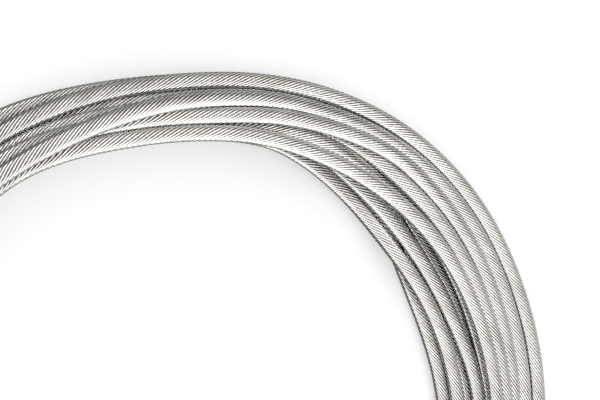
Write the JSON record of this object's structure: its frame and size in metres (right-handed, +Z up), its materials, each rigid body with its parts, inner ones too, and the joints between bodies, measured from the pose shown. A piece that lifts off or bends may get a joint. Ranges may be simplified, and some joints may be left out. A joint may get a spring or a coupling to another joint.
{
  "type": "bicycle shift cable",
  "caption": "Stranded stainless steel inner wire for a bicycle's gear shifter, with a small cylindrical cast head, wound in a flat round coil.",
  "frame": {"origin": "on the ground, at the middle of the wound coil", "axes": "+Z up along the coil's axis. The coil lies looser towards +X, and both loose ends lie inside it towards -Y."},
  "size_m": [0.057, 0.057, 0.0043],
  "materials": {
    "drawn_stainless_wire": "bright drawn",
    "cast_zinc_head": "satin cast and turned"
  },
  "bodies": {
    "root": {"cable_coil": "drawn_stainless_wire", "cable_lead": "drawn_stainless_wire", "cable_tail": "drawn_stainless_wire", "cable_head": "cast_zinc_head"}
  },
  "joints": []
}
